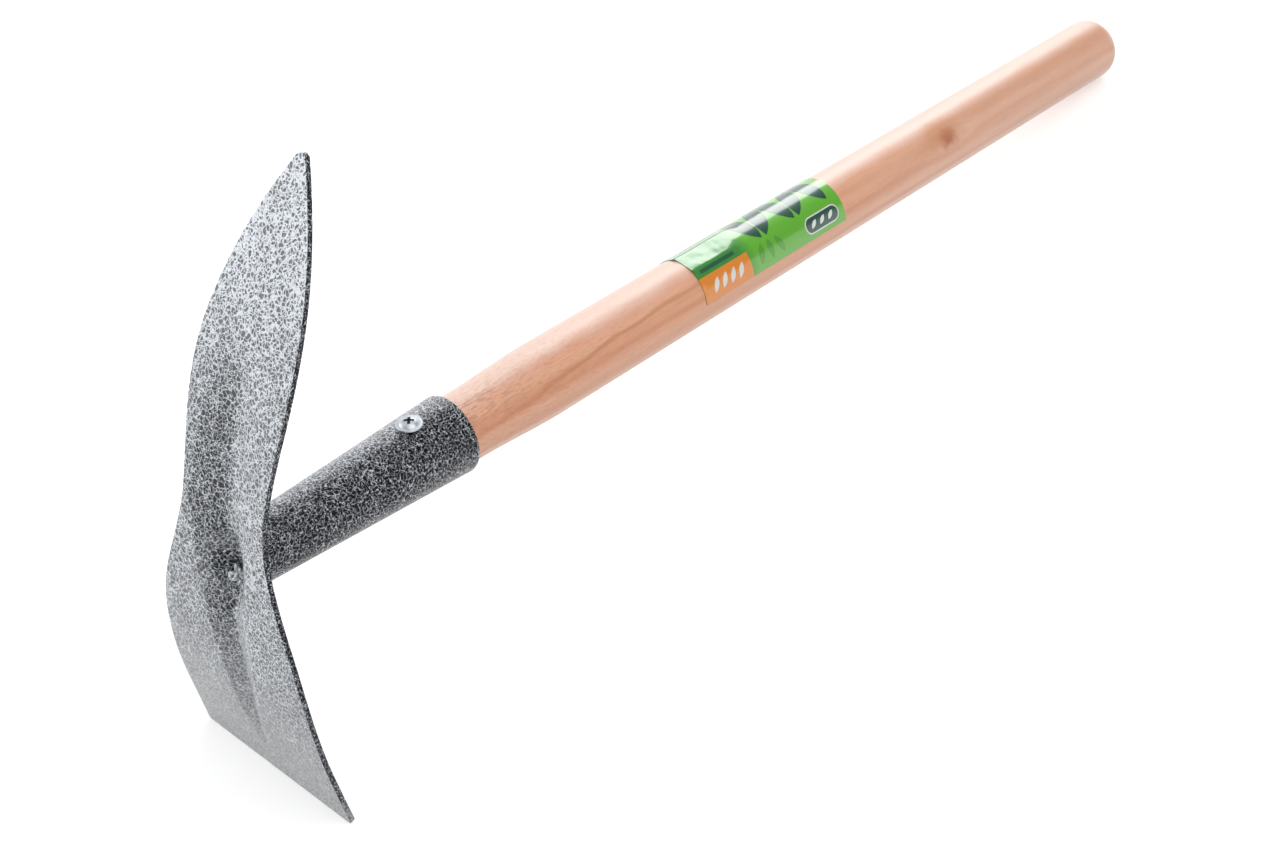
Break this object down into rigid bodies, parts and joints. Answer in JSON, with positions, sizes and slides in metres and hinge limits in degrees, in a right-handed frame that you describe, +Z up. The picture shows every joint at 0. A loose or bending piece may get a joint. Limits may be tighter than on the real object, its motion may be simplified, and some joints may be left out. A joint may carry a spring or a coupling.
{
  "type": "combination hoe",
  "caption": "Short-handled garden hoe: a pressed steel blade with a pointed leaf above and a wide cutting edge below, on a tapered socket and a turned wooden handle.",
  "frame": {"origin": "middle of the footprint, on the ground that the cutting edge and the end of the handle rest on", "axes": "+X level along the tool from the blade to the free end of the handle, +Y across the blade, +Z up"},
  "size_m": [0.551, 0.0842, 0.2553],
  "materials": {
    "blade_paint": "silver hammered enamel on pressed steel",
    "socket_paint": "dark hammered enamel on a steel tube",
    "weld_paint": "dark enamel over a rippled weld",
    "wood": "sanded hardwood, lightly waxed",
    "zinc": "bright zinc plating",
    "label_film": "glossy printed film"
  },
  "bodies": {
    "root": {"blade": "blade_paint", "socket": "socket_paint", "weld_bead": "weld_paint", "handle": "wood", "screw": "zinc", "label": "label_film"}
  },
  "joints": []
}
